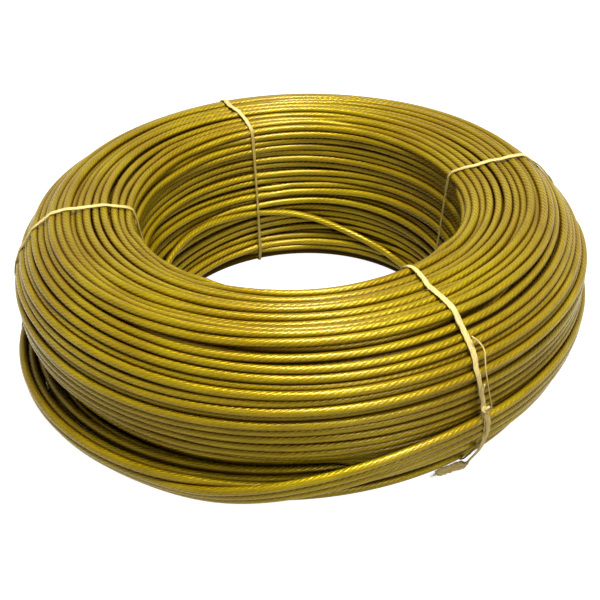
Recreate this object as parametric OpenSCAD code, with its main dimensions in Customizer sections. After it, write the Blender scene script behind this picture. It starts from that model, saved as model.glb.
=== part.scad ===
// Coil of plastic-coated wire rope. One long rope is wound into a thick ring with an open eye,
// and four twine ties hold the turns together. A few slack turns bow out at the foot.
// Millimetres, +Z up. The coil's axis is Z, and z = 0 is the floor that its ties lie on.

/* [Rope] */
// Diameter over the plastic coat
rope_d = 4; // [3.5:0.25:4.5]
// Spacing of neighbouring turns, as a share of the diameter: the soft coat beds in a little
bedding = 0.975; // [0.96:0.005:0.985]

/* [Coil] */
// Radius of the coil at its widest turns
coil_r = 145; // [142:1:150]
// Height from the lowest turns to the highest
coil_h = 87; // [84:1:92]
// Radius of the eye at its upper rim
eye_top_r = 84; // [80:1:88]
// Radius of the eye at its foot
eye_foot_r = 78; // [74:1:80]
// Radius at which the turns are highest
crown_r = 118; // [112:1:122]
// Drop from the highest turns to the rim of the eye
rim_drop = 9; // [6:0.5:11]
// Squareness of the fall from the crown to that rim
rim_power = 2.6; // [2:0.1:3]
// Height of the widest turns above the floor
belly_z = 55; // [50:1:58]
// Squareness of the shoulder above the belly, where 2 is an ellipse
shoulder_power = 1.6; // [1.5:0.1:2.4]
// Radius at which the flank under the belly starts to rise off the floor
foot_r = 112; // [110:1:116]
// Squareness of the flank under the belly
foot_power = 3; // [2.4:0.1:3.6]

/* [Slack turns] */
// Height of the bundle of slack turns round the foot
bundle_h = 23; // [18:1:25]
// Radial width of that bundle
bundle_w = 14; // [11:1:15]
// How far the bundle bows out of its seat where it is slackest
bow = 11; // [6:1:14]
// Azimuth at which it is slackest, in degrees from +X
bow_azimuth = 220; // [214:1:222]
// Half of the angle that the bow spans
bow_half_angle = 82; // [70:1:84]

/* [Ties] */
// Azimuth of the left tie, in degrees from +X
left_azimuth = 186.5; // [182:0.5:189]
// Azimuth of the back tie
back_azimuth = 109; // [102:0.5:114]
// Azimuth of the right tie
right_azimuth = 13.5; // [8:0.5:20]
// Azimuth of the front tie
front_azimuth = 302; // [299:0.5:308]
// Width of the flattened twine
twine_w = 2.4; // [2:0.1:3]
// Thickness of the flattened twine
twine_t = 1.2; // [0.8:0.1:1.6]
// Diameter of a knot
knot_d = 4.8; // [4:0.1:5.5]
// Height of the knots on the coil's outer face
knot_z = 42; // [36:1:48]
// Height of the left tie's knot above the top of the slack turns
left_knot_lift = 7.5; // [7.5:0.5:12]
// Length of a knot's cut ends
knot_end_l = 7; // [5:0.5:7]
// How far inside the widest turns the front tie's tail lies on the floor
tail_in = 11; // [9:1:14]
// Length of that tail on the floor
tail_l = 19; // [12:1:22]
// How much of it lies on the right of its loop
tail_right_l = 6; // [2:1:8]

/* [Hidden] */

rope_r = rope_d / 2;
pitch = rope_d * bedding;
// Clearance between twine and rope, and between the slack bundle and the coil
seat_gap = 0.25;

// The outlines run through the centres of the surface turns, so they lie rope_r inside the coil
low_z = twine_t + seat_gap + rope_r;
high_z = twine_t + seat_gap + coil_h - rope_r;
belly_r = coil_r - rope_r;
rim_r = eye_top_r + rope_r;
eye_r = eye_foot_r + rope_r;

// A quarter of a superellipse about a centre, from angle t0 to t1; reach holds its two half-axes
function super_arc(centre, reach, power, t0, t1, steps = 16) = [
    for (i = [0 : steps])
        let (t = t0 + (t1 - t0) * i / steps)
        centre + [reach.x * pow(abs(cos(t)), 2 / power), reach.y * pow(abs(sin(t)), 2 / power)]
];

// The flank under the belly: its radius at a height, and the arc's angle at a height or a radius
flank_reach = [belly_r - foot_r, low_z - belly_z];
function flank_angle_at_z(z) = asin(pow((z - belly_z) / flank_reach.y, foot_power / 2));
function flank_angle_at_r(r) = acos(pow((r - foot_r) / flank_reach.x, foot_power / 2));
function flank_r(z) = foot_r + flank_reach.x * pow(cos(flank_angle_at_z(z)), 2 / foot_power);
function flank(t0, t1) = super_arc([foot_r, belly_z], flank_reach, foot_power, t0, t1);

// The slack bundle fills a step that the coil leaves at the foot of its outer flank
bundle_top_z = twine_t + seat_gap + bundle_h - rope_r;
step_z = bundle_top_z + rope_d + seat_gap;
bundle_in_r = flank_r(bundle_top_z) - bundle_w + rope_d;
step_r = bundle_in_r - rope_d - seat_gap;

coil_outline = concat(
    [[eye_r, low_z]],
    flank(90, flank_angle_at_r(step_r)),
    [[step_r, step_z]],
    flank(flank_angle_at_z(step_z), 0),
    super_arc([crown_r, belly_z], [belly_r - crown_r, high_z - belly_z], shoulder_power, 0, 90),
    super_arc([crown_r, high_z - rim_drop], [rim_r - crown_r, rim_drop], rim_power, 90, 0)
);

bundle_outline = concat(
    flank(flank_angle_at_r(bundle_in_r), flank_angle_at_z(bundle_top_z)),
    [[bundle_in_r, bundle_top_z]]
);

// Centres of the surface turns, laid side by side along a closed outline
function running_length(p) = [
    for (i = 0, s = 0; i < len(p); s = s + norm(p[(i + 1) % len(p)] - p[i]), i = i + 1) s
];
function turns_along(p) =
    let (
        closed = concat(p, [p[0]]),
        s = running_length(closed),
        total = s[len(p)],
        n = round(total / pitch),
        radii = [for (i = [0 : len(p)]) [s[i], closed[i].x]],
        heights = [for (i = [0 : len(p)]) [s[i], closed[i].y]]
    )
    [for (k = [0 : n - 1]) [lookup(k * total / n, radii), lookup(k * total / n, heights)]];

coil_turns = turns_along(coil_outline);
bundle_turns = turns_along(bundle_outline);

rope_colour = [0.72, 0.60, 0.12];
twine_colour = [0.93, 0.87, 0.62];

function heading(azimuth) = [cos(azimuth), sin(azimuth)];

// A section through wound rope: the turns that show, round a plain core
module wound_section(turns) {
    polygon(turns);
    for (turn = turns) translate(turn) circle(r = rope_r, $fn = 24);
}

// The bow is three arcs that run smoothly out of the bundle's circle and back into it: the two
// end arcs are flatter than the circle and the middle one is tighter, by one shift of the centre.
bow_start = bow_azimuth - bow_half_angle;
bow_end = bow_azimuth + bow_half_angle;
bow_c = 1 - cos(bow_half_angle);
bow_shift = bow * (1 + sqrt(1 - bow_c / 2)) / bow_c;

// An arc of the bundle about a centre of its own. It stops a hair short of the next one.
hair = 0.01;
module bundle_arc(from, to, centre, widen) {
    translate(centre)
        rotate_extrude(start = from + hair, angle = to - from - 2 * hair, $fn = 144)
            translate([widen, 0]) wound_section(bundle_turns);
}

module slack_bundle() {
    first = bow_start + bow_half_angle / 2;
    last = bow_end - bow_half_angle / 2;
    bundle_arc(bow_end, bow_start + 360, [0, 0], 0);
    bundle_arc(bow_start, first, -bow_shift * heading(bow_start), bow_shift);
    bundle_arc(first, last, bow_shift * heading(bow_azimuth), bow - bow_shift);
    bundle_arc(last, bow_end, -bow_shift * heading(bow_end), bow_shift);
}

module rope_coil() {
    color(rope_colour) {
        rotate_extrude($fn = 144) wound_section(coil_turns);
        slack_bundle();
    }
}

// How far the bundle has bowed out of its seat at an azimuth, for turns that rest at radius r
function reach_of(r, shift, turn) = shift * cos(turn) + sqrt(pow(r, 2) - pow(shift * sin(turn), 2));
function bundle_out(azimuth, r) =
    let (turn = abs(azimuth - bow_azimuth))
    turn >= bow_half_angle ? 0
        : turn > middle_reach(r) ? reach_of(r + bow_shift, -bow_shift, bow_half_angle - turn) - r
        : reach_of(r + bow - bow_shift, bow_shift, turn) - r;
// Half of the angle, seen from the coil's axis, that the middle arc spans
function middle_reach(r) =
    let (tip = bow_shift * heading(0) + (r + bow - bow_shift) * heading(bow_half_angle / 2))
    atan2(tip.y, tip.x);

// Taut twine touches only the proudest turns, so its loop is the hull of the section there
module section_hull(azimuth, clearance) {
    bowed = [for (turn = bundle_turns) turn + [bundle_out(azimuth, turn.x), 0]];
    hull()
        for (turn = concat(coil_turns, bowed))
            translate(turn) circle(r = rope_r + clearance, $fn = 24);
}

// Moves what is drawn in the section, x outwards and y up, to an azimuth of the coil
module at_azimuth(azimuth) {
    rotate([0, 0, azimuth]) rotate([90, 0, 0]) children();
}

module twine_loop(azimuth) {
    at_azimuth(azimuth)
        linear_extrude(height = twine_w, center = true)
            difference() {
                section_hull(azimuth, seat_gap + twine_t);
                section_hull(azimuth, seat_gap);
            }
}

// A knot sits round its loop, just clear of the rope behind it. The left one lies in the hollow
// over the slack turns, where the twine runs straight from them up to the belly.
knot_r = knot_d / 2;
left_knot_z = bundle_top_z + rope_r + left_knot_lift;
function knot_out(z) = flank_r(z) + rope_r + seat_gap + knot_r;

// One of the knot's two cut ends: lean tips it out from the coil, and swing tips it sideways
module twine_end(lean, swing) {
    rotate([0, 0, -lean]) rotate([swing, 0, 0])
        translate([-twine_t / 2, 0, -twine_w / 2]) cube([twine_t, knot_end_l, twine_w]);
}

module knot(azimuth, z) {
    at_azimuth(azimuth) translate([knot_out(z), z]) {
        sphere(d = knot_d, $fn = 24);
        twine_end(12, 20);
        twine_end(175, -15);
    }
}

// The front tie's long end drops from the loop to the floor and lies there along the coil
tail_r = coil_r - tail_in;
module tail(azimuth) {
    at_azimuth(azimuth) {
        linear_extrude(height = twine_w, center = true)
            difference() {
                translate([tail_r, 0]) square([twine_t, bundle_h / 2]);
                section_hull(azimuth, seat_gap);
            }
        translate([tail_r, 0, -tail_right_l]) cube([twine_w, twine_t, tail_l]);
    }
}

module tie(azimuth, z = knot_z) {
    color(twine_colour) {
        twine_loop(azimuth);
        knot(azimuth, z);
    }
}

module tie_left() { tie(left_azimuth, left_knot_z); }
module tie_back() { tie(back_azimuth); }
module tie_right() { tie(right_azimuth); }
module tie_front() {
    tie(front_azimuth);
    color(twine_colour) tail(front_azimuth);
}

rope_coil();
tie_left();
tie_back();
tie_right();
tie_front();
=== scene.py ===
# %% [markdown]
# # A coil of plastic-coated wire rope
# One long steel rope in an amber plastic coat is wound into a thick ring, and four twine ties hold
# its turns together. The lesson lays every turn that can be seen as a tube of its own, lets the
# turns settle against each other as wound rope does, and ties them up with flat, hairy twine.
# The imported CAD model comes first, because its sizes and places are what every piece follows.

# %% Load the frame
import math

import bpy
import numpy as np
from mathutils import Matrix, Vector


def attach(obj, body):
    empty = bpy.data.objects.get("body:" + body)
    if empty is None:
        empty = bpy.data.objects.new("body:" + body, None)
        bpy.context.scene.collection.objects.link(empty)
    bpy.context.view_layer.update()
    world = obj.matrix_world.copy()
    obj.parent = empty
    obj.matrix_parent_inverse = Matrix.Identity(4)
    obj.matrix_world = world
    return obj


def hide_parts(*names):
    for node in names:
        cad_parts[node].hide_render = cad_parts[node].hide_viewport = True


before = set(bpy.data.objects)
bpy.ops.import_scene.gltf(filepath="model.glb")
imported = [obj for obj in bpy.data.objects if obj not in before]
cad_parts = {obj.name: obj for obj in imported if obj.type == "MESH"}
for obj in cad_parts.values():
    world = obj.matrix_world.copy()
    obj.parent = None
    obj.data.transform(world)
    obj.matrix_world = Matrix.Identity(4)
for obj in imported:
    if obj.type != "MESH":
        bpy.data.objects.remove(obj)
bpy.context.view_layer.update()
bpy.ops.object.select_all(action="DESELECT")
MM = 0.001  # sizes below are millimetres, and Blender's unit is the metre

# %% [markdown]
# ## The outline that the turns lie along
# Cut through the ring and the surface turns are a necklace of circles. The string of that necklace
# is an outline made of quarter superellipses: an ellipse whose corners can be made fuller or
# leaner by one power. It could be drawn as a Bezier curve, but a formula keeps it on the CAD's
# own sizes.

# %% Outline of the wound ring
ROPE_D = 4.0
ROPE_R = ROPE_D / 2
COIL_R, COIL_H = 145.0, 87.0
EYE_TOP_R, EYE_FOOT_R, CROWN_R = 84.0, 78.0, 118.0
RIM_DROP, RIM_POWER = 9.0, 2.6
BELLY_Z, SHOULDER_POWER = 55.0, 1.6
FOOT_R, FOOT_POWER = 112.0, 3.0
BUNDLE_H, BUNDLE_W = 23.0, 14.0
TWINE_W, TWINE_T, SEAT_GAP = 2.4, 1.2, 0.25

LOW_Z = TWINE_T + SEAT_GAP + ROPE_R
HIGH_Z = TWINE_T + SEAT_GAP + COIL_H - ROPE_R
BELLY_R = COIL_R - ROPE_R
FLANK_REACH = (BELLY_R - FOOT_R, LOW_Z - BELLY_Z)


def quarter(centre, reach, power, start, end, steps=16):
    """Points of a superellipse's arc from one angle to another, in degrees."""
    turn = np.radians(np.linspace(start, end, steps + 1))
    across = reach[0] * np.abs(np.cos(turn)) ** (2 / power)
    up = reach[1] * np.abs(np.sin(turn)) ** (2 / power)
    return np.column_stack([centre[0] + across, centre[1] + up])


def flank_angle_at_z(z):
    """How far round the flank's arc a height is, in degrees."""
    return math.degrees(math.asin(((z - BELLY_Z) / FLANK_REACH[1]) ** (FOOT_POWER / 2)))


def flank_angle_at_r(r):
    """How far round the flank's arc a radius is, in degrees."""
    return math.degrees(math.acos(((r - FOOT_R) / FLANK_REACH[0]) ** (FOOT_POWER / 2)))


def flank_r(z):
    """The flank's radius at a height."""
    turn = math.radians(flank_angle_at_z(z))
    return FOOT_R + FLANK_REACH[0] * math.cos(turn) ** (2 / FOOT_POWER)


def flank(start, end):
    """The stretch of the flank between two angles of its arc."""
    return quarter((FOOT_R, BELLY_Z), FLANK_REACH, FOOT_POWER, start, end)


BUNDLE_TOP_Z = TWINE_T + SEAT_GAP + BUNDLE_H - ROPE_R
STEP_Z = BUNDLE_TOP_Z + ROPE_D + SEAT_GAP
BUNDLE_IN_R = flank_r(BUNDLE_TOP_Z) - BUNDLE_W + ROPE_D
STEP_R = BUNDLE_IN_R - ROPE_D - SEAT_GAP

ring_outline = np.vstack([
    [[EYE_FOOT_R + ROPE_R, LOW_Z]],
    flank(90, flank_angle_at_r(STEP_R)),
    [[STEP_R, STEP_Z]],
    flank(flank_angle_at_z(STEP_Z), 0),
    quarter((CROWN_R, BELLY_Z), (BELLY_R - CROWN_R, HIGH_Z - BELLY_Z), SHOULDER_POWER, 0, 90),
    quarter((CROWN_R, HIGH_Z - RIM_DROP), (EYE_TOP_R + ROPE_R - CROWN_R, RIM_DROP), RIM_POWER, 90, 0),
])


def even_points(outline, count):
    """Evenly spaced points round a closed outline, and the direction out of it at each."""
    closed = np.vstack([outline, outline[:1]])
    along = np.r_[0, np.cumsum(np.hypot(*np.diff(closed, axis=0).T))]
    at = np.linspace(0, along[-1], count, endpoint=False)
    points = np.column_stack([np.interp(at, along, closed[:, i]) for i in (0, 1)])
    run = np.roll(points, -2, 0) - np.roll(points, 2, 0)
    run /= np.linalg.norm(run, axis=1)[:, None]
    return points, np.column_stack([run[:, 1], -run[:, 0]]), along[-1]


GRAIN = 560  # points along the outline
outline_points, outline_out, outline_length = even_points(ring_outline, GRAIN)
print(f"outline {outline_length:.0f} mm, room for {outline_length / ROPE_D:.1f} turns side by side")

# %% [markdown]
# ## Turns that wander
# A machine lays rope turn by turn, but the turns don't stay in line: they drift sideways in
# groups, some sink, and some ride up. Smooth random waves give the drift. They are made by
# blurring plain noise round the ring, so that each wave runs back into itself, and a fixed seed
# makes every run lay the same coil.

# %% Smooth random waves
STATIONS = 180  # places round the ring at which every turn is worked out
chance = np.random.default_rng(20)


def waves(shape, blur):
    """Noise of that shape, blurred along each axis by so many samples, and scaled to swing by 1."""
    spectrum = np.fft.fftn(chance.standard_normal(shape))
    for axis, width in enumerate(blur):
        steps = np.fft.fftfreq(shape[axis])
        decay = np.exp(-2 * (np.pi * steps * width) ** 2)
        spectrum *= decay.reshape([-1 if i == axis else 1 for i in range(len(shape))])
    wave = np.real(np.fft.ifftn(spectrum))
    return wave / wave.std()


def on_outline(share, depth):
    """Points at a share of the way round the outline, so many millimetres under it."""
    at = np.mod(share, 1) * GRAIN
    low = at.astype(int) % GRAIN
    high, part = (low + 1) % GRAIN, (at - np.floor(at))[..., None]
    spot = outline_points[low] * (1 - part) + outline_points[high] * part
    out = outline_out[low] * (1 - part) + outline_out[high] * part
    return spot - out * depth[..., None]


print("a station every", 360 / STATIONS, "degrees")

# %% [markdown]
# ## The bundle of slack turns
# Round the foot, some turns have slackened, and they bow out of the ring on one side. The CAD bows
# them in three arcs that run smoothly into each other. The same arcs, worked out as a reach from
# the ring's axis, carry the turns of the bundle here.

# %% How far the slack turns bow out
BOW, BOW_AZIMUTH, BOW_HALF = 11.0, 220.0, 82.0
bow_c = 1 - math.cos(math.radians(BOW_HALF))
BOW_SHIFT = BOW * (1 + math.sqrt(1 - bow_c / 2)) / bow_c


def reach_of(r, shift, turn):
    """How far from the ring's axis a circle reaches, when its centre lies a shift off that axis."""
    turn = np.radians(turn)
    return shift * np.cos(turn) + np.sqrt(r**2 - (shift * np.sin(turn)) ** 2)


def bow_out(azimuth, r):
    """How far turns that rest at radius r stand out of their seat at an azimuth in degrees."""
    turn = np.abs((azimuth - BOW_AZIMUTH + 180) % 360 - 180)
    half = math.radians(BOW_HALF / 2)
    tip = r + BOW - BOW_SHIFT
    middle = np.degrees(np.arctan2(tip * math.sin(half), BOW_SHIFT + tip * math.cos(half)))
    near = reach_of(tip, BOW_SHIFT, turn)
    far = reach_of(r + BOW_SHIFT, -BOW_SHIFT, np.clip(BOW_HALF - turn, 0, None))
    return np.where(turn >= BOW_HALF, 0, np.where(turn > middle, far, near) - r)


azimuths = np.arange(STATIONS) * 360 / STATIONS
print("bow at 185, 220, 270 degrees:", bow_out(np.array([185.0, 220.0, 270.0]), 140.0).round(1))

# %% [markdown]
# ## A place for every turn
# The real rope runs along the outline, each turn beside the last one, so the surface turns are one
# long helix, and the turns just under them are another. They could be modelled one by one and
# nudged by hand. Working out where each turn wants to lie, station by station, is less work, and
# it keeps the turns as close together as wound rope is.

# %% Places of the surface turns and the turns under them
SURFACE_TURNS, UNDER_TURNS = 74, 60
HOLLOW_LOW_Z, HOLLOW_HIGH_Z = 25, 37  # over the slack turns the flank is hollow,
HOLLOW_DEPTH, HOLLOW_AT_BOW = 3.4, 7.0  # and deeper where they bow out
FOOT_TOP_Z = 23  # turns lower than this follow the bow
OFF_THE_CORNER = 0.4  # in turns, so that the lowest turn in the eye has its place to itself
station = np.arange(STATIONS) / STATIONS


def bump_of(value, low, high, edge):
    """1 between two values and 0 outside them, with soft edges."""
    rise = np.clip((value - low) / edge + 0.5, 0, 1)
    fall = np.clip((high - value) / edge + 0.5, 0, 1)
    return rise * rise * (3 - 2 * rise) * fall * fall * (3 - 2 * fall)


def laid(count, depth, drift, sink, group_drift, follow):
    """Places of turns laid as one helix along the outline: turns x stations x (r, z).

    They lie at a depth under it and sink by waves of their own. Each drifts sideways a little
    alone and more with its neighbours, and at the foot they follow the bow by a share.
    """
    slot = np.arange(count)[:, None] + station
    one = waves((count * STATIONS,), (STATIONS / 7,)).reshape(count, STATIONS)
    group = waves((count, STATIONS), (1.6, STATIONS / 11))
    group = group * (1 - station) + np.roll(group, -1, 0) * station
    sunk = waves((count * STATIONS,), (STATIONS / 6,)).reshape(count, STATIONS)
    slot = slot + drift * one + group_drift * group
    share = np.clip(slot / count, OFF_THE_CORNER / count, 1 - OFF_THE_CORNER / count)
    depth = depth + sink * sunk
    place = on_outline(share, depth)
    outside = place[..., 0] > CROWN_R
    hollow = bump_of(place[..., 1], HOLLOW_LOW_Z, HOLLOW_HIGH_Z, 5) * outside
    place = on_outline(share, depth + hollow * (HOLLOW_DEPTH + HOLLOW_AT_BOW * bowed))
    foot = bump_of(place[..., 1], -FOOT_TOP_Z, FOOT_TOP_Z, 4) * outside
    place[..., 0] += follow * foot * bow_out(azimuths, place[..., 0])
    return place


def from_azimuth(middle):
    """How far round the ring each station is from an azimuth, from -180 to 180 degrees."""
    return (azimuths - middle + 180) % 360 - 180


bowed = bump_of(from_azimuth(BOW_AZIMUTH), -58, 62, 34)
surface_place = laid(SURFACE_TURNS, depth=0.3, drift=0.20, sink=0.60, group_drift=0.45, follow=0.80)
under_place = laid(UNDER_TURNS, depth=4.2, drift=0.40, sink=0.35, group_drift=0.50, follow=0.50)
print(SURFACE_TURNS, "surface turns,", UNDER_TURNS, "under them")

# %% [markdown]
# The slack turns lie in rows and columns, in the step that the ring leaves at its foot. At the
# front the outer turns of three rows have climbed over the others, and at the back they come down
# again, so their height is a smooth line through a few stops.

# %% Places in the slack bundle
def round_the_ring(stops):
    """A smooth value at every station, from stops of (azimuth, value)."""
    turn, value = np.array(sorted(stops)).T
    line = np.interp(azimuths, np.r_[turn - 360, turn, turn + 360], np.tile(value, 3))
    for _ in range(30):
        line = 0.5 * line + 0.25 * (np.roll(line, 1) + np.roll(line, -1))
    return line


CLIMBING_ROWS = (1, 2, 3)
climbed = round_the_ring([
    (251, 0.0), (266, 9.5), (273, 13.5), (282, 17.5), (290, 22.0), (301, 23.5), (312, 24.0),
    (340, 23.5), (60, 23.0), (75, 22.0), (135, 0.0), (230, 0.0)])
above = np.clip(climbed / 8, 0, 1)
proud = bump_of(from_azimuth(BOW_AZIMUTH), 28, 100, 26) + bump_of(from_azimuth(105), -24, 22, 26)
BUNDLE_ROWS, ROW_PITCH = 5, 3.9
BOW_SHARE, BOW_LESS = 0.96, 0.07  # the outermost turns bow out most
STAND_OFF, OVER_OTHERS = 3.4, 0.6  # how far climbing turns stand proud, and lie over others

bundle_place = []
for row in range(BUNDLE_ROWS):
    z = BUNDLE_TOP_Z - row * ROW_PITCH
    rest_r = flank_r(z)
    column = 0
    while rest_r > BUNDLE_IN_R - 0.5:
        bow = bow_out(azimuths, rest_r) * (BOW_SHARE - BOW_LESS * column)
        jitter = waves((2, STATIONS), (0.01, STATIONS / 8)) * 0.5
        if column == 0 and row in CLIMBING_ROWS:
            height = z + climbed
            seat = np.array([flank_r(min(level, BELLY_Z)) for level in height])
            place = np.column_stack([seat + bow + STAND_OFF * proud + OVER_OTHERS * above, height])
        else:
            place = np.column_stack([rest_r + bow + jitter[0], z + jitter[1]])
        bundle_place.append(place)
        rest_r -= ROPE_D
        column += 1
bundle_place = np.array(bundle_place)
print(len(bundle_place), "slack turns")

# %% [markdown]
# ## Two turns with places of their own
# On the wall of the eye one turn has jumped over the others, and it crosses them as a long arch.
# And the very lowest turn in the eye lies flat on the floor, so it shows as one even edge.

# %% Places of the jumped turn and the lowest turn
ARCH_PROUD = 3.0  # how far it stands off the wall
arch_z = round_the_ring([(166, 27.7), (141, 35.6), (117, 34.3), (89, 29.5), (67, 17.9), (37, 8.6),
                         (10, 6), (320, 5.5), (240, 5.5), (205, 9), (185, 17)])
wall_slope = (EYE_TOP_R - EYE_FOOT_R) / (HIGH_Z - RIM_DROP - LOW_Z)
wall_r = EYE_FOOT_R + ROPE_R + (arch_z - LOW_Z) * wall_slope
arch_place = np.column_stack([wall_r - ARCH_PROUD, arch_z])[None]

LOWEST_R = EYE_FOOT_R + ROPE_R - 0.9  # a little proud of the wall above it
lowest_place = np.tile([LOWEST_R, LOW_Z], (1, STATIONS, 1))
print("the jumped turn rises to", round(float(arch_z.max()), 1), "mm")

# %% [markdown]
# ## Let the turns settle
# Each turn starts at its own place. Then, at each of the stations round the ring, turns that
# overlap push each other apart, all are drawn back to their places, and each is smoothed along its
# length, because a steel rope has no sharp bends. After some rounds the turns lie as they do in a
# real winding: mostly side by side, here and there with a dark gap, and some riding on two others.

# %% Settle them
CLOSEST = ROPE_D * 0.965  # the soft coat gives a little
PULL = 0.10
ROUNDS, ROUNDS_UNSMOOTHED = 50, 3
STATIONS_AT_ONCE = 30


def settle(place, held, gives, helices):
    """Turns x stations x (r, z) after the turns have pushed each other clear.

    held says how firmly each turn is drawn to its place, and gives how easily it is pushed. The
    first turns run on into each other as helices, and the others are rings.
    """
    spot = place.copy()
    count = len(place)
    pull = PULL * held[:, None, None]
    for turn_round in range(ROUNDS):
        spot += (place - spot) * pull
        for k in range(0, STATIONS, STATIONS_AT_ONCE):
            part = spot[:, k:k + STATIONS_AT_ONCE].transpose(1, 0, 2)
            away = part[:, :, None] - part[:, None]
            gap = np.sqrt((away**2).sum(-1)) + 1e-9
            gap[:, range(count), range(count)] = 1e3  # a turn doesn't push itself
            push = np.clip(CLOSEST - gap, 0, None) / gap * gives[None, :, None]
            spot[:, k:k + STATIONS_AT_ONCE] += (away * push[..., None]).sum(2).transpose(1, 0, 2)
        spot[..., 1] = np.maximum(spot[..., 1], LOW_Z)
        if turn_round < ROUNDS - ROUNDS_UNSMOOTHED:
            for first, last in helices:
                line = spot[first:last].reshape(-1, 2)
                line[:] = 0.5 * line + 0.25 * (np.roll(line, 1, 0) + np.roll(line, -1, 0))
            rings = spot[helices[-1][1]:]
            rings[:] = 0.5 * rings + 0.25 * (np.roll(rings, 1, 1) + np.roll(rings, -1, 1))
    return spot


groups = [(surface_place, 1.0, 0.45), (under_place, 1.2, 0.45), (bundle_place, 1.0, 0.4),
          (arch_place, 1.0, 0.1), (lowest_place, 6.0, 0.02)]
every_place = np.concatenate([place for place, _, _ in groups])
counts = [len(place) for place, _, _ in groups]
held, gives = (np.repeat([group[i] for group in groups], counts) for i in (1, 2))
helices = [(0, SURFACE_TURNS), (SURFACE_TURNS, SURFACE_TURNS + UNDER_TURNS)]
settled = settle(every_place, held, gives, helices)
surface, under, bundle, arch, foot = np.split(settled, np.cumsum(counts)[:-1])
print("moved on average", round(float(np.abs(settled - every_place).mean()), 2), "mm")

# %% [markdown]
# ## From places to rope
# A rope is a curve with a round bevel. Each curve becomes a mesh, so that the piece keeps its
# shape in its own vertices. Its UV map is then stretched to the rope's own length, so that 1 along the
# map is one lay, the length in which a strand goes once round. A pattern of strands then keeps its
# size on every turn, wide or narrow.

# %% Make rope from rows of points
LAY = 19.5 * MM
ROPE_SIDES, BENEATH_SIDES = 12, 8


def in_space(spot):
    """Points in metres for (r, z) places, one for each station and on round the ring."""
    angle = 2 * math.pi * np.arange(len(spot)) / STATIONS
    return np.column_stack([spot[:, 0] * np.cos(angle), spot[:, 0] * np.sin(angle), spot[:, 1]]) * MM


def only(piece):
    """Select one object, and make it active."""
    bpy.ops.object.select_all(action="DESELECT")
    piece.select_set(True)
    bpy.context.view_layer.objects.active = piece


def bevelled(name, line, closed, radius, sides, taper=1.0):
    """A round mesh along points in metres, whose far end is a share as thick as its near end."""
    curve = bpy.data.curves.new(name, "CURVE")
    curve.dimensions = "3D"
    curve.bevel_depth = radius
    curve.bevel_resolution = sides // 2 - 2
    curve.use_fill_caps = not closed
    spline = curve.splines.new("POLY")
    spline.points.add(len(line) - 1)
    spline.points.foreach_set("co", np.column_stack([line, np.ones(len(line))]).ravel())
    spline.points.foreach_set("radius", np.linspace(1.0, taper, len(line)))
    spline.use_cyclic_u = closed
    piece = bpy.data.objects.new(name, curve)
    bpy.context.scene.collection.objects.link(piece)
    only(piece)
    bpy.ops.object.convert(target="MESH")
    return bpy.context.object


def tube(name, line, closed, radius, sides, lay):
    """A round rope along points in metres, as a mesh whose UV map counts lays along it."""
    piece = bevelled(name, line, closed, radius, sides)
    ends = np.vstack([line, line[:1]]) if closed else line
    run = np.r_[0, np.cumsum(np.linalg.norm(np.diff(ends, axis=0), axis=1))] / lay
    if closed:
        run *= round(run[-1]) / run[-1]
    layer = piece.data.uv_layers.active.data
    uv = np.zeros(len(layer) * 2, np.float32)
    layer.foreach_get("uv", uv)
    uv[0::2] = np.interp(uv[0::2], np.linspace(0, 1, len(run)), run)
    layer.foreach_set("uv", uv)
    return piece


def joined(name, parts):
    """One object of several, with doubled points merged."""
    only(parts[0])
    for part in parts[1:]:
        part.select_set(True)
    if len(parts) > 1:
        bpy.ops.object.join()
    piece = bpy.context.object
    piece.name = piece.data.name = name
    bpy.ops.object.mode_set(mode="EDIT")
    bpy.ops.mesh.select_all(action="SELECT")
    bpy.ops.mesh.remove_doubles(threshold=1e-7)
    bpy.ops.object.mode_set(mode="OBJECT")
    return piece


def rope(name, lines, closed, sides=ROPE_SIDES):
    """One piece made of a rope along each line."""
    tubes = [tube(f"{name}_{i}", line, closed, ROPE_R * MM, sides, LAY) for i, line in enumerate(lines)]
    piece = joined(name, tubes)
    bpy.ops.object.shade_smooth()
    print(name, len(piece.data.polygons) * 2, "triangles")
    return piece


# %% [markdown]
# The helix of surface turns is cut into two pieces, so that neither mesh gets too heavy. The turns
# beneath show only through gaps, so they have fewer sides and every other point.

# %% The pieces of rope
line = in_space(surface.reshape(-1, 2))
half = SURFACE_TURNS // 2 * STATIONS
lower = rope("rope_lower_turns", [line[:half + 1]], False)
upper = rope("rope_upper_turns", [np.vstack([line[half:], line[:1]])], False)
beneath = rope("rope_turns_beneath", [in_space(under.reshape(-1, 2))[::2]], True, BENEATH_SIDES)
slack = rope("rope_slack_turns", [in_space(turn) for turn in bundle], True)
jumped = rope("rope_jumped_turn", [in_space(arch[0])], True)
lowest = rope("rope_lowest_turn", [in_space(foot[0])], True)
turn_pieces = [lower, upper, slack, beneath, jumped, lowest]

# %% [markdown]
# ## The plain core
# Under two layers of turns nothing can be seen but dark, so the other turns are one plain ring. Its
# section is the outline drawn inwards, and the spin tool turns it about the ring's axis.

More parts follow.
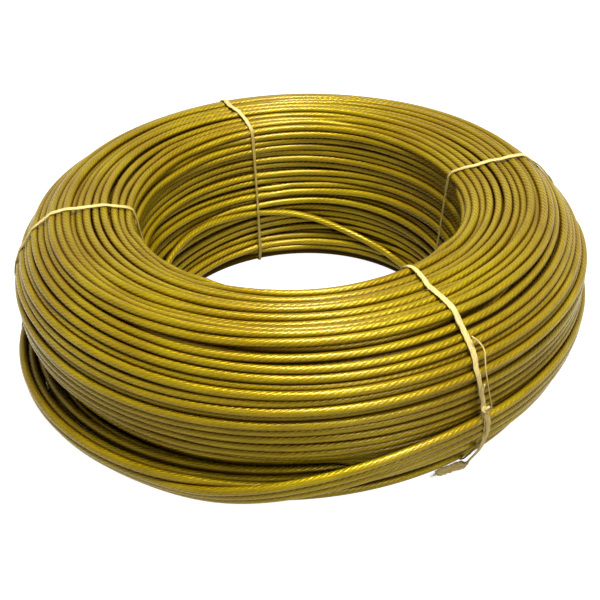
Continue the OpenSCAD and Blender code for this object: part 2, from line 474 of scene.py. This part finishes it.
# %% Spin the core
CORE_DEPTH, CORE_POINTS, CORE_STEPS = 6.2, 40, 96
CORE_FOLLOWS = 0.95  # how much of the bow the core's foot goes along with
section = on_outline(np.arange(CORE_POINTS) / CORE_POINTS, np.full(CORE_POINTS, CORE_DEPTH)) * MM
core_mesh = bpy.data.meshes.new("rope_core")
edges = [(i, (i + 1) % CORE_POINTS) for i in range(CORE_POINTS)]
core_mesh.from_pydata([(r, 0, z) for r, z in section], edges, [])
core = bpy.data.objects.new("rope_core", core_mesh)
bpy.context.scene.collection.objects.link(core)
only(core)
bpy.ops.object.mode_set(mode="EDIT")
bpy.ops.mesh.select_all(action="SELECT")
bpy.ops.mesh.spin(steps=CORE_STEPS, angle=2 * math.pi, center=(0, 0, 0), axis=(0, 0, 1))
bpy.ops.mesh.select_all(action="SELECT")
bpy.ops.mesh.remove_doubles(threshold=1e-5)
bpy.ops.mesh.normals_make_consistent(inside=False)
bpy.ops.object.mode_set(mode="OBJECT")
bpy.ops.object.shade_smooth()
for corner in core.data.vertices:  # the foot of the core fills the hollow behind the slack turns
    x, y, z = corner.co / MM
    r, azimuth = math.hypot(x, y), math.degrees(math.atan2(y, x))
    if r > FOOT_R and z < BUNDLE_TOP_Z + ROPE_R:
        corner.co.xy *= 1 + CORE_FOLLOWS * float(bow_out(np.array([azimuth]), r)[0]) / r
print("core", len(core.data.polygons), "faces")

# %% [markdown]
# ## Painted shade in the grooves
# Little light gets into the grooves between turns. How near each spot of the surface is to a
# neighbouring turn is worked out once and kept on the mesh as an attribute, so that the coat's
# material can paint that shade into the grooves, the same from every side.

# %% How tucked in each spot is
TUCKED_REACH = 2.4  # in rope radii
POINTS_AT_ONCE = 20000


def mark_tucked(piece):
    """Keep on each vertex how near another turn is, just off the surface: 0 is free and 1 touches."""
    mesh = piece.data
    spot = np.zeros(len(mesh.vertices) * 3, np.float32)
    facing = np.zeros(len(mesh.vertices) * 3, np.float32)
    mesh.vertices.foreach_get("co", spot)
    mesh.vertex_normals.foreach_get("vector", facing)
    spot, facing = spot.reshape(-1, 3) / MM, facing.reshape(-1, 3)
    angle = np.arctan2(spot[:, 1], spot[:, 0])
    radial = facing[:, 0] * np.cos(angle) + facing[:, 1] * np.sin(angle)
    ahead = np.column_stack([np.hypot(spot[:, 0], spot[:, 1]) + radial * ROPE_R,
                             spot[:, 2] + facing[:, 2] * ROPE_R])
    at = np.round(angle / (2 * math.pi) * STATIONS).astype(int) % STATIONS
    near = np.zeros(len(at))
    for k in range(0, len(at), POINTS_AT_ONCE):
        part = slice(k, k + POINTS_AT_ONCE)
        away = settled[:, at[part]] - ahead[part]
        near[part] = np.sqrt((away**2).sum(-1)).min(0)
    tucked = np.clip(1 - near / (TUCKED_REACH * ROPE_R), 0, 1).astype(np.float32)
    mesh.attributes.new("tucked", "FLOAT", "POINT").data.foreach_set("value", tucked)
    return tucked


for piece in turn_pieces:
    print(piece.name, "tucked on average", round(float(mark_tucked(piece).mean()), 2))

# %% [markdown]
# ## Twine ties
# A tie is a flat, hairy twine pulled tight round the ring. Taut twine touches only the proudest
# turns, so its path is the convex hull of the turns where it crosses them. A round bevel would look
# like cord, so the twine is a mesh tube with a flat section that turns with the surface under it.

# %% The path of taut twine
def hull_of(points):
    """The convex hull of 2-D points, anticlockwise."""
    points = sorted(map(tuple, points))
    chain = []
    for run in (points, points[::-1]):
        part = []
        for p in run:
            while len(part) > 1 and ((part[-1][0] - part[-2][0]) * (p[1] - part[-2][1])
                                     - (part[-1][1] - part[-2][1]) * (p[0] - part[-2][0])) <= 0:
                part.pop()
            part.append(p)
        chain += part[:-1]
    return np.array(chain)


circle_turn = np.linspace(0, 2 * math.pi, 17)[:-1]
circle = np.column_stack([np.cos(circle_turn), np.sin(circle_turn)])
TIE_REACH = ROPE_R + TWINE_T / 2 + 0.1  # from a turn's middle to the twine's, with a hair to spare
TIE_POINTS = 150


def station_at(azimuth):
    return int(round(azimuth / 360 * STATIONS)) % STATIONS


def tie_path(azimuth):
    """Places round the section at an azimuth where taut twine lies, and the direction out at each."""
    hull = hull_of((settled[:, station_at(azimuth), None] + circle * TIE_REACH).reshape(-1, 2))
    path, out, _ = even_points(hull, TIE_POINTS)
    return path, out


def smooth_line(stops, count):
    """A smooth run of points past a few stops."""
    stops = np.array(stops, float)
    knots = np.r_[0, np.cumsum(np.linalg.norm(np.diff(stops, axis=0), axis=1))]
    where = np.linspace(0, knots[-1], count)
    line = np.column_stack([np.interp(where, knots, stops[:, i]) for i in range(3)])
    for _ in range(count // 4):
        line[1:-1] = 0.5 * line[1:-1] + 0.25 * (line[:-2] + line[2:])
    return line


print("taut twine reaches", round(float(tie_path(302)[0][:, 0].max()), 1), "mm out at the front")

# %% Flat twine as a mesh tube
TWINE_SIDES, TWINE_LAY = 12, 9 * MM
LUMPS = 0.10  # how uneven the twine is, as a share of its width


def twine(name, line, out, wide, thick, closed):
    """A flat tube along points in metres. out points off the surface, and wide is per point."""
    run = np.roll(line, -1, 0) - np.roll(line, 1, 0)
    if not closed:
        run[0], run[-1] = line[1] - line[0], line[-1] - line[-2]
    run /= np.linalg.norm(run, axis=1)[:, None]
    across = np.cross(run, out)
    across /= np.linalg.norm(across, axis=1)[:, None]
    out = np.cross(across, run)
    turn = np.linspace(0, 2 * math.pi, TWINE_SIDES, endpoint=False)
    lump = 1 + LUMPS * chance.normal(0, 1, (len(line), TWINE_SIDES))
    rings = (line[:, None] + across[:, None] * (np.cos(turn) * wide[:, None] / 2 * lump)[..., None]
             + out[:, None] * (np.sin(turn) * thick / 2 * lump)[..., None])
    count, rows = len(line), len(line) if closed else len(line) - 1
    length = np.r_[0, np.cumsum(np.linalg.norm(np.diff(line, axis=0), axis=1))] / TWINE_LAY
    faces, corners = [], []
    for i in range(rows):
        for k in range(TWINE_SIDES):
            j, m = (i + 1) % count, (k + 1) % TWINE_SIDES
            here, there = i * TWINE_SIDES, j * TWINE_SIDES
            faces.append((here + k, here + m, there + m, there + k))
            near, far = length[i], length[j] if j else length[i] + length[1] - length[0]
            left, right = k / TWINE_SIDES, (k + 1) / TWINE_SIDES
            corners += [(near, left), (near, right), (far, right), (far, left)]
    if not closed:
        for ring, last in ((0, False), (count - 1, True)):
            loop = [ring * TWINE_SIDES + k for k in range(TWINE_SIDES)]
            faces.append(loop if last else loop[::-1])
            corners += [(length[ring], 0.0)] * TWINE_SIDES
    mesh = bpy.data.meshes.new(name)
    mesh.from_pydata(rings.reshape(-1, 3), [], faces)
    mesh.uv_layers.new(name="UVMap").data.foreach_set("uv", np.array(corners, np.float32).ravel())
    piece = bpy.data.objects.new(name, mesh)
    bpy.context.scene.collection.objects.link(piece)
    only(piece)
    bpy.ops.object.mode_set(mode="EDIT")
    bpy.ops.mesh.select_all(action="SELECT")
    bpy.ops.mesh.normals_make_consistent(inside=False)
    bpy.ops.object.mode_set(mode="OBJECT")
    bpy.ops.object.shade_smooth()
    return piece


print("flat twine with", TWINE_SIDES, "sides")

# %% [markdown]
# ## Knots, cut ends and stray fibres
# A tie is knotted once on the ring's flank. The knot is a trefoil, the simplest closed knot, pulled
# small. Twine is laid from plant fibre, so its cut ends fan out, and hairs stand off along it.

# %% Knots and fibres
FIBRE_SIDES, FIBRE_TAPER = 6, 0.45


def strand(name, line, radius):
    """A thin round strand along points in metres, tapering to its far end."""
    piece = bevelled(name, line, False, radius, FIBRE_SIDES, FIBRE_TAPER)
    bpy.ops.object.shade_smooth()
    return piece


def spot_at(azimuth, r, z):
    """A point in metres from an azimuth in degrees and millimetres."""
    angle = math.radians(azimuth)
    return np.array([r * math.cos(angle), r * math.sin(angle), z]) * MM


def axes_at(azimuth):
    """Directions out of the ring, along it and up, at an azimuth."""
    angle = math.radians(azimuth)
    out = np.array([math.cos(angle), math.sin(angle), 0.0])
    return out, np.array([-out[1], out[0], 0.0]), np.array([0.0, 0.0, 1.0])


KNOT_SIZE, KNOT_THREAD_R, KNOT_SIDES, KNOT_LAY = 0.63, 0.62, 8, 4


def knot(name, azimuth, r, z):
    """A pulled-tight trefoil of twine."""
    out, along, up = axes_at(azimuth)
    t = np.linspace(0, 2 * math.pi, 49)[:-1]
    shape = (np.outer(np.sin(t) + 2 * np.sin(2 * t), along) + np.outer(np.cos(t) - 2 * np.cos(2 * t), up)
             + np.outer(-np.sin(3 * t), out))
    line = spot_at(azimuth, r, z) + shape * KNOT_SIZE * MM
    return tube(name, line, True, KNOT_THREAD_R * MM, KNOT_SIDES, KNOT_LAY * MM)


FIBRE_LOW_Z, FIBRE_HIGH_Z = 0.2, 92  # no fibre dips under the floor or stands far over the ring


def fray(name, root, way, count, length, radius=0.09, spread=0.22):
    """Fibres that fan out from a root point along a direction."""
    made = []
    way = np.array(way) / np.linalg.norm(way)
    for i in range(count):
        aim = way + chance.normal(0, spread, 3)
        reach = length * (0.55 + 0.6 * chance.random()) * MM
        bend = chance.normal(0, 0.25, 3)
        start = root + chance.normal(0, 0.3, 3) * MM
        steps = np.linspace(0, 1, 5)[:, None]
        line = start + steps * aim * reach + steps**2 * bend * reach
        line[:, 2] = np.clip(line[:, 2], FIBRE_LOW_Z * MM, FIBRE_HIGH_Z * MM)
        made.append(strand(f"{name}_{i}", line, radius * MM))
    return made


print("the thread in a knot is", 2 * KNOT_THREAD_R, "mm thick")

# %% [markdown]
# ## Four ties that don't lie straight
# Nobody ties a coil with a ruler. Each tie leans a little, and its lean is written as azimuths for
# directions round the section: 90 is straight up, 180 is into the eye and 0 is straight out. It is
# flat and wide where it presses on the crown, and thin where it hangs free in the eye. The front
# tie's tail and two split-off strands are placed as listed stops that a smooth line runs through.

# %% The four ties
LEANS = {
    "left": [(124, 183.3), (115, 185.2), (105, 186.2), (92, 187.5), (60, 187.7), (0, 187.5), (-90, 187),
             (180, 184)],
    "back": [(124, 107.2), (115, 107.8), (105, 109), (93, 110.2), (60, 109.7), (0, 109.5), (-90, 109),
             (180, 107.8)],
    "right": [(137, 15), (124, 14.7), (112, 12.8), (93, 12.5), (77, 14), (0, 14), (-90, 14), (180, 14.5)],
    "front": [(124, 303.2), (115, 303.4), (97, 300.7), (81, 300.3), (54, 300.5), (46, 300.5), (35, 300.1),
              (17, 300.6), (5, 301), (-5, 301.6), (-15, 301.8), (-33, 301.9), (-46, 302.7), (-57, 303.4),
              (-90, 302.5), (180, 303)],
}
WIDTHS = [(180, 0.55), (150, 0.6), (124, 0.95), (100, 1.12), (70, 1.2), (40, 1.1), (12, 0.85), (-10, 1.15),
          (-30, 0.8), (-90, 0.9)]  # as shares of the twine's width
KNOT_Z = {"left": 32.0, "back": 42.0, "right": 42.0, "front": 48.0}
MIDDLE = np.array([112.0, 45.0])  # of the section, where those directions start
TIE_THICK = 0.85
KNOT_PROUD = 0.7
LET_IN = 0.9  # of the gap that a slack tie closes


def round_the_section(stops, toward):
    """A value for each direction round the section, from stops in degrees."""
    turn, value = np.array(sorted(stops)).T
    return np.interp(toward, np.r_[turn - 360, turn, turn + 360], np.tile(value, 3))


def slackened(path, azimuth):
    """The path let in to touch the turns on the ring's outside, where taut twine would stand off."""
    away = path[:, None] - settled[None, :, station_at(azimuth)]
    gap = (np.sqrt((away**2).sum(-1)).min(1) - TIE_REACH) * (path[:, 0] > CROWN_R)
    for _ in range(6):
        gap = 0.5 * gap + 0.25 * (np.roll(gap, 1) + np.roll(gap, -1))
    return path - np.column_stack([LET_IN * gap, np.zeros(len(gap))])


print("ties:", list(LEANS))

# %% What hangs from the front tie
# Azimuth, radius and height of each stop
TAIL = [(301.0, 148.9, 48), (301.6, 148.8, 41.3), (301.9, 148.6, 36), (301.7, 148.0, 31),
        (301.9, 145.8, 23.4), (302.4, 141.0, 14.5), (302.8, 136.6, 7.5), (303.5, 134.2, 3.0),
        (303.1, 133.3, 2.2), (301.7, 132.4, 1.9), (299.7, 131.3, 1.7), (296.8, 131.0, 1.5)]
TAIL_POINTS, TAIL_THICK = 70, 0.8
TAIL_WIDTHS = [(0, 1.0), (12, 1.5), (30, 1.25), (46, 1.25), (58, 1.7), (69, 1.3)]
LIES_FLAT = np.array([0.15, -0.30, 0.93])  # the way that the flat tail faces on the floor
LOOSE = [(300.6, 137.6, 80.4), (301.4, 139.6, 78.7), (302.1, 142.0, 75.7), (301.5, 144.6, 73.0),
         (301.0, 146.8, 67.9), (301.3, 148.2, 61.1), (301.8, 148.9, 53.5), (302.4, 149.2, 46.1)]
SECOND = [(300.6, 148.0, 62.0), (300.1, 148.6, 56.0), (299.9, 149.0, 50.0), (300.4, 149.2, 45.0)]


def through(stops, count):
    return smooth_line([spot_at(*stop) for stop in stops], count)


def hanging_parts():
    """The front tie's tail, which drops to the floor and lies there, and two split-off strands."""
    tail = through(TAIL, TAIL_POINTS)
    rise = np.clip((tail[:, 2] / MM - 1.5) / 3, 0, 1)[:, None]
    off = rise * axes_at(302.0)[0] + (1 - rise) * LIES_FLAT
    wide = np.interp(np.arange(TAIL_POINTS), *zip(*TAIL_WIDTHS)) * TWINE_W * MM
    parts = [twine("tail", tail, off, wide, TAIL_THICK * MM, False)]
    parts += fray("tail_end", tail[-1], tail[-1] - tail[-4], 14, 3)
    parts.append(strand("loose_strand", through(LOOSE, 48), 0.42 * MM))
    parts.append(strand("second_strand", through(SECOND, 20), 0.36 * MM))
    return parts


print("the tail runs past", len(TAIL), "stops")

# %% Tie the four ties
ENDS = [((0.15, 0.6, 0.5), 4), ((0.15, -0.5, -0.7), 5)]  # ways out, along and up, and lengths
HAIRS = 34

ties = {}
for name, leans in LEANS.items():
    crown_azimuth = leans[3][1]
    path, out2 = tie_path(crown_azimuth)
    toward = np.degrees(np.arctan2(path[:, 1] - MIDDLE[1], path[:, 0] - MIDDLE[0]))
    angle = np.radians(round_the_section(leans, toward))
    wide = round_the_section(WIDTHS, toward) * TWINE_W * MM * (1 + 0.05 * waves((len(path),), (4,)))
    if name == "left":  # this one is slack where it spans the hollow over the bundle
        path = slackened(path, crown_azimuth)
    line = np.column_stack([path[:, 0] * np.cos(angle), path[:, 0] * np.sin(angle), path[:, 1]]) * MM
    out3 = np.column_stack([out2[:, 0] * np.cos(angle), out2[:, 0] * np.sin(angle), out2[:, 1]])
    parts = [twine(f"twine_{name}", line, out3, wide, TIE_THICK * MM, True)]

    outer = np.argmin(np.abs(path[:, 1] - KNOT_Z[name]) + (path[:, 0] < CROWN_R) * 1e3)
    knot_azimuth, knot_r = math.degrees(angle[outer]), path[outer, 0] + KNOT_PROUD
    parts.append(knot(f"knot_{name}", knot_azimuth, knot_r, KNOT_Z[name]))
    here = spot_at(knot_azimuth, knot_r, KNOT_Z[name])
    for way, length in ENDS:
        parts += fray(f"end_{name}", here, np.array(way) @ np.array(axes_at(knot_azimuth)), 9, length)
    for i in range(HAIRS):
        k = int(chance.integers(0, len(line)))
        toward_next = line[(k + 2) % len(line)] - line[k]
        way = toward_next / np.linalg.norm(toward_next) + 0.16 * out3[k]
        parts += fray(f"hair_{name}_{i}", line[k] + 0.3 * MM * out3[k], way, 1, 6, 0.06, 0.14)
    if name == "front":
        parts += hanging_parts()
    ties[name] = joined(f"twine_{name}", parts)
    print(ties[name].name, len(ties[name].data.polygons), "faces")

# %% [markdown]
# ## Helpers for materials
# Every material here is worked out by nodes, from a place on the object or along the rope, so it
# stays sharp however near the view is. A few short functions add the nodes and link them, as one
# does by hand in the shader editor.

# %% Node helpers
def node(tree, kind, links=None, **values):
    """A new node, with settings by name and inputs linked or set by socket name or number."""
    made = tree.nodes.new(kind)
    for key, value in values.items():
        setattr(made, key, value)
    for key, value in (links or {}).items():
        if isinstance(value, bpy.types.NodeSocket):
            tree.links.new(value, made.inputs[key])
        else:
            made.inputs[key].default_value = value
    return made


def maths(tree, operation, *inputs):
    return node(tree, "ShaderNodeMath", dict(enumerate(inputs)), operation=operation).outputs[0]


def ramp(tree, value, stops):
    """The colour that a value has on a ramp, from stops of (position, colour)."""
    made = node(tree, "ShaderNodeValToRGB", {0: value})
    made.color_ramp.elements[0].position, made.color_ramp.elements[0].color = stops[0]
    made.color_ramp.elements[1].position, made.color_ramp.elements[1].color = stops[-1]
    for position, colour in stops[1:-1]:
        made.color_ramp.elements.new(position).color = colour
    return made.outputs[0]


def grey(level):
    return (level, level, level, 1)


def mixed(tree, blend, share, low, high):
    """A colour mix: low at share 0 and high at share 1, or the blend's own rule."""
    return node(tree, "ShaderNodeMix", {0: share, 6: low, 7: high},
                data_type="RGBA", blend_type=blend).outputs[2]


def smooth_fall(tree, value, high, low):
    """0 above a high value and 1 below a low one, with a smooth change between them."""
    return node(tree, "ShaderNodeMapRange", {"Value": value, "From Min": high, "From Max": low},
                interpolation_type="SMOOTHSTEP").outputs[0]


def new_group(name, inputs, outputs):
    """A node group whose sockets are all plain numbers."""
    group = bpy.data.node_groups.new(name, "ShaderNodeTree")
    for side, sockets in (("INPUT", inputs), ("OUTPUT", outputs)):
        for socket in sockets:
            group.interface.new_socket(socket, in_out=side, socket_type="NodeSocketFloat")
    return group


def new_material(name):
    """A material, its node tree and its Principled shader."""
    material = bpy.data.materials.new(name)
    material.use_nodes = True
    return material, material.node_tree, material.node_tree.nodes["Principled BSDF"]


# %% [markdown]
# ## Strands
# Six steel strands wind round inside the coat, and three threads wind in the twine. Both are drawn
# from the UV map, because they turn as they go along it. One node group makes them for both
# materials: the height of the strands, a crest that is 1 along the middle of each, and the long
# fine streaks of their wires. An array of modelled strands would look the same and weigh far more.

# %% The strands as a node group
STREAK_ALONG, STREAK_AROUND = 0.9, 3.2  # the streaks are long and narrow

strand_group = new_group("strands_under_coat", ["Strands"], ["Height", "Crest", "Streaks"])


def calc(operation, *inputs):
    return maths(strand_group, operation, *inputs)


strand_count = node(strand_group, "NodeGroupInput").outputs[0]
place = node(strand_group, "ShaderNodeUVMap", uv_map="UVMap")
split = node(strand_group, "ShaderNodeSeparateXYZ", {0: place.outputs[0]})
along, around = split.outputs[0], split.outputs[1]
phase = calc("FRACT", calc("MULTIPLY", calc("ADD", along, around), strand_count))
side = calc("SUBTRACT", calc("MULTIPLY", phase, 2.0), 1.0)
crest = calc("SQRT", calc("SUBTRACT", 1.0, calc("MULTIPLY", side, side)))
turn = calc("MULTIPLY", around, 2 * math.pi)
long_spot = node(strand_group, "ShaderNodeCombineXYZ", {
    0: calc("MULTIPLY", along, STREAK_ALONG),
    1: calc("MULTIPLY", calc("SINE", turn), STREAK_AROUND),
    2: calc("MULTIPLY", calc("COSINE", turn), STREAK_AROUND)})
streaks = node(strand_group, "ShaderNodeTexNoise", {
    "Vector": long_spot.outputs[0], "Scale": 1.6, "Detail": 4.0, "Roughness": 0.65}).outputs["Fac"]
height = calc("ADD", crest, calc("MULTIPLY", streaks, 0.5))
node(strand_group, "NodeGroupOutput", {0: height, 1: crest, 2: streaks})
print("strand group:", len(strand_group.nodes), "nodes")

# %% [markdown]
# ## Inside the eye
# Little light reaches the eye's wall, and the lowest turn there, in shadow where it curves under,
# is painted nearly black as shade.
# A second node group gives a mask of the eye, from the distance to the ring's axis, and a mask of
# its foot, from the height too. The rope and the twine both read them.

# %% Places in the eye as a node group
EYE_FADE = (0.090, 0.082)  # distances from the axis, in metres
FOOT_FADE = (0.0078, 0.0054)  # heights

eye_group = new_group("places_in_the_eye", [], ["Eye", "Foot"])
place = node(eye_group, "ShaderNodeTexCoord")
split = node(eye_group, "ShaderNodeSeparateXYZ", {0: place.outputs["Object"]})
flat = node(eye_group, "ShaderNodeCombineXYZ", {0: split.outputs[0], 1: split.outputs[1]})
from_axis = node(eye_group, "ShaderNodeVectorMath", {0: flat.outputs[0]}, operation="LENGTH").outputs["Value"]
in_eye = smooth_fall(eye_group, from_axis, *EYE_FADE)
at_foot = smooth_fall(eye_group, split.outputs[2], *FOOT_FADE)
node(eye_group, "NodeGroupOutput", {0: in_eye, 1: maths(eye_group, "MULTIPLY", in_eye, at_foot)})
print("eye group:", len(eye_group.nodes), "nodes")

# %% [markdown]
# ## The amber coat
# The coat is clear amber plastic over bright steel strands, so the rope glows gold, with a darker
# line where two strands meet, fine streaks from their wires and a glossy skin over it all. A partly
# metallic base under the shader's clear coat gives those two layers. Painted shade then goes on
# by how tucked in a spot is: a brown tint at first, and nearly black deep in a groove.

# %% The coat's colour
STRANDS_IN_ROPE = 6.0
GOLD_DEEP, GOLD_PALE = (0.26, 0.167, 0.0, 1), (0.34, 0.246, 0.001, 1)
# painted shade for the grooves: a brown tint, and nearly black deep in them
GROOVE_SHADE_BROWN, GROOVE_SHADE_BLACK = (0.095, 0.046, 0.0, 1), (0.035, 0.012, 0.0, 1)
# painted shade: the eye's lowest turns, in shadow where they curve under, go nearly black
FOOT_SHADE, FOOT_SHADE_SHARE = (0.022, 0.008, 0.0, 1), 0.93

coat, tree, shader = new_material("amber_coat")
strands = node(tree, "ShaderNodeGroup", node_tree=strand_group)
strands.inputs[0].default_value = STRANDS_IN_ROPE
tucked = node(tree, "ShaderNodeAttribute", attribute_name="tucked").outputs["Fac"]
foot_mask = node(tree, "ShaderNodeGroup", node_tree=eye_group).outputs["Foot"]
spot = node(tree, "ShaderNodeTexCoord").outputs["Object"]
patches = node(tree, "ShaderNodeTexNoise", {"Vector": spot, "Scale": 22.0, "Detail": 3.0}).outputs["Fac"]
body = ramp(tree, patches, [(0.32, GOLD_DEEP), (0.68, GOLD_PALE)])
shade = ramp(tree, strands.outputs["Crest"], [(0.0, grey(0.80)), (0.55, grey(0.96)), (1.0, grey(1.0))])
body = mixed(tree, "MULTIPLY", 1.0, body, shade)
fine = ramp(tree, strands.outputs["Streaks"], [(0.34, grey(0.55)), (0.5, grey(0.85)), (0.66, grey(1.1))])
body = mixed(tree, "MULTIPLY", 1.0, body, fine)
# painted shade, by how near the next turn is
groove_shade = ramp(tree, tucked, [(0.14, grey(0.0)), (0.58, grey(0.9))])
body = mixed(tree, "MIX", groove_shade, body, GROOVE_SHADE_BROWN)
deep_groove_shade = ramp(tree, tucked, [(0.54, grey(0.0)), (0.84, grey(1.0))])
body = mixed(tree, "MIX", deep_groove_shade, body, GROOVE_SHADE_BLACK)
# painted shade at the eye's foot
body = mixed(tree, "MIX", maths(tree, "MULTIPLY", foot_mask, FOOT_SHADE_SHARE), body, FOOT_SHADE)
tree.links.new(body, shader.inputs["Base Color"])
print("coat's colour:", len(tree.nodes), "nodes")

# %% [markdown]
# The skin is smooth and clear on the crests. The foot, painted nearly black as shade, is rough and
# has neither metal nor clear coat. A bump from the strands breaks the highlights up into the
# short slanting glints that show a rope for what it is.

# %% The coat's shine
METAL, CLEAR_COAT = 0.35, 0.2

rough = ramp(tree, strands.outputs["Crest"], [(0.3, grey(0.38)), (0.95, grey(0.25))])
rough = maths(tree, "MAXIMUM", rough, maths(tree, "MULTIPLY", foot_mask, 0.95))
tree.links.new(rough, shader.inputs["Roughness"])
off_foot = maths(tree, "SUBTRACT", 1.0, foot_mask)
tree.links.new(maths(tree, "MULTIPLY", off_foot, METAL), shader.inputs["Metallic"])
tree.links.new(maths(tree, "MULTIPLY", off_foot, CLEAR_COAT), shader.inputs["Coat Weight"])
shader.inputs["Coat Roughness"].default_value = 0.22
shader.inputs["Specular IOR Level"].default_value = 0.2
shader.inputs["Specular Tint"].default_value = (1.0, 0.86, 0.20, 1)
bump = node(tree, "ShaderNodeBump", {
    "Height": strands.outputs["Height"], "Strength": 1.0, "Distance": 0.00023})
tree.links.new(bump.outputs[0], shader.inputs["Normal"])
for piece in turn_pieces:
    piece.data.materials.append(coat)
print("coat:", len(tree.nodes), "nodes on", len(turn_pieces), "pieces")

# %% [markdown]
# The core only has to look like darkness between the turns, so it is nearly black and has no shine.
# The turns and the core together take the place of the one CAD ring.

# %% The dark core, and what the rope replaces
shadowed, tree, shader = new_material("dark_core")
shader.inputs["Base Color"].default_value = (0.022, 0.007, 0.0, 1)
shader.inputs["Roughness"].default_value = 1.0
shader.inputs["Specular IOR Level"].default_value = 0.0
core.data.materials.append(shadowed)
for piece in (*turn_pieces, core):
    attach(piece, "root")
    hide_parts("rope_coil")
print("rope pieces:", [piece.name for piece in (*turn_pieces, core)])

# %% [markdown]
# ## Cream twine
# Twine is dull and fibrous: cream on its threads, and browner in the hollows between them, as
# painted shade. The strand group draws it with three threads, and the eye's mask dims it where it
# hangs in the eye's shade.

# %% Twine's material
THREADS_IN_TWINE = 3.0
TWINE_BROWN, TWINE_TAN, TWINE_CREAM = (0.38, 0.25, 0.07, 1), (0.56, 0.43, 0.15, 1), (0.64, 0.52, 0.22, 1)
EYE_SHADE = (0.62, 0.58, 0.34, 1)

cream, tree, shader = new_material("cream_twine")
fibres = node(tree, "ShaderNodeGroup", node_tree=strand_group)
fibres.inputs[0].default_value = THREADS_IN_TWINE
eye_mask = node(tree, "ShaderNodeGroup", node_tree=eye_group).outputs["Eye"]
thread = ramp(tree, fibres.outputs["Streaks"], [(0.36, TWINE_BROWN), (0.48, TWINE_TAN), (0.62, TWINE_CREAM)])
# painted shade in the hollows between threads
thread_gap_shade = ramp(tree, fibres.outputs["Crest"], [(0.0, grey(0.72)), (0.6, grey(1.0))])
thread = mixed(tree, "MULTIPLY", 0.6, thread, thread_gap_shade)
thread = mixed(tree, "MULTIPLY", eye_mask, thread, EYE_SHADE)
tree.links.new(thread, shader.inputs["Base Color"])
shader.inputs["Roughness"].default_value = 0.75
shader.inputs["Specular IOR Level"].default_value = 0.25
bump = node(tree, "ShaderNodeBump", {
    "Height": fibres.outputs["Height"], "Strength": 0.8, "Distance": 0.0002})
tree.links.new(bump.outputs[0], shader.inputs["Normal"])
for name, piece in ties.items():
    piece.data.materials.append(cream)
    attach(piece, "root")
    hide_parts(f"tie_{name}")
print("twine:", len(tree.nodes), "nodes on", len(ties), "ties")

# %% [markdown]
# ## A white floor that doesn't light the rope
# The coil lies on white, with a soft shadow round its foot. A floor that was white by light alone
# would flood the rope from below. So it is grey to the lamps, and glows only for rays that see it
# straight from the camera or in a shiny surface.

# %% Floor
FLOOR_SIZE, FLOOR_GREY, FLOOR_GLOW = 6, 0.30, 0.97


def direct_view(tree):
    """1 where the camera, a mirror-like surface or a clear one looks straight at something."""
    path = node(tree, "ShaderNodeLightPath")
    seen = maths(tree, "ADD", path.outputs["Is Camera Ray"], path.outputs["Is Glossy Ray"])
    return maths(tree, "MINIMUM", maths(tree, "ADD", seen, path.outputs["Is Transmission Ray"]), 1.0)


bpy.ops.mesh.primitive_plane_add(size=FLOOR_SIZE)
floor = bpy.context.object
floor.name = "floor"
paper, tree, shader = new_material("white_floor")
shader.inputs["Base Color"].default_value = grey(FLOOR_GREY)
shader.inputs["Roughness"].default_value = 1.0
shader.inputs["Specular IOR Level"].default_value = 0.0
glow = node(tree, "ShaderNodeEmission", {"Strength": maths(tree, "MULTIPLY", direct_view(tree), FLOOR_GLOW)})
both = node(tree, "ShaderNodeAddShader", {0: shader.outputs[0], 1: glow.outputs[0]})
tree.links.new(both.outputs[0], tree.nodes["Material Output"].inputs["Surface"])
floor.data.materials.append(paper)
print("floor", FLOOR_SIZE, "m square")

# %% [markdown]
# ## Light
# The surroundings are white to look at but give the rope only a little light. A small lamp nearly
# overhead makes the grooves dark and the crests bright, and a larger, weaker one in front and to
# the right opens up the shadows on the flank.

# %% Surroundings and lamps
AMBIENT = 0.07

world = bpy.data.worlds.new("studio")
bpy.context.scene.world = world
world.use_nodes = True
tree = world.node_tree
sky = tree.nodes["Background"]
level = node(tree, "ShaderNodeMapRange", {"Value": direct_view(tree), "To Min": AMBIENT, "To Max": 1.0})
tree.links.new(level.outputs[0], sky.inputs["Strength"])
sky.inputs["Color"].default_value = grey(1)


def softbox(name, place, aim, size, watts):
    """A rectangular lamp at a place, turned to face a point."""
    light = bpy.data.lights.new(name, "AREA")
    light.shape = "RECTANGLE"
    light.size, light.size_y = size
    light.energy = watts
    lamp = bpy.data.objects.new(name, light)
    lamp.location = place
    lamp.rotation_euler = (Vector(aim) - Vector(place)).to_track_quat("-Z", "Y").to_euler()
    bpy.context.scene.collection.objects.link(lamp)


COIL_MIDDLE = (0, 0, 0.03)
softbox("overhead", (0.06, -0.12, 1.1), COIL_MIDDLE, (0.3, 0.3), 24)
softbox("front", (0.5, -1.0, 0.9), COIL_MIDDLE, (0.6, 0.5), 9)

# %% [markdown]
# ## Camera
# The camera looks down into the eye from a little over half a metre, close enough for the near
# flank to look larger than the far one. It is tilted a little to one side, as a hand-held one is.

# %% Camera
ELEVATION, DISTANCE, AIM_Z, TILT = math.radians(33.69), 0.5619, 0.0289, math.radians(1.93)
LENS, SENSOR = 62.8182, 36  # in millimetres
SHIFT_X, SHIFT_Y = -1 / 600, -13 / 600  # as shares of the frame's width

camera_data = bpy.data.cameras.new("camera")
camera = bpy.data.objects.new("camera", camera_data)
bpy.context.scene.collection.objects.link(camera)
camera_data.sensor_width, camera_data.lens = SENSOR, LENS
camera_data.shift_x, camera_data.shift_y = SHIFT_X, SHIFT_Y
camera_data.clip_start = 0.01
camera.matrix_world = (
    Matrix.Translation((0, -DISTANCE * math.cos(ELEVATION), DISTANCE * math.sin(ELEVATION) + AIM_Z))
    @ Matrix.Rotation(math.pi / 2 - ELEVATION, 4, "X")
    @ Matrix.Rotation(-TILT, 4, "Z")
)
bpy.context.scene.camera = camera
bpy.context.scene.view_settings.view_transform = "Standard"
print("camera at", [round(v, 3) for v in camera.matrix_world.translation])
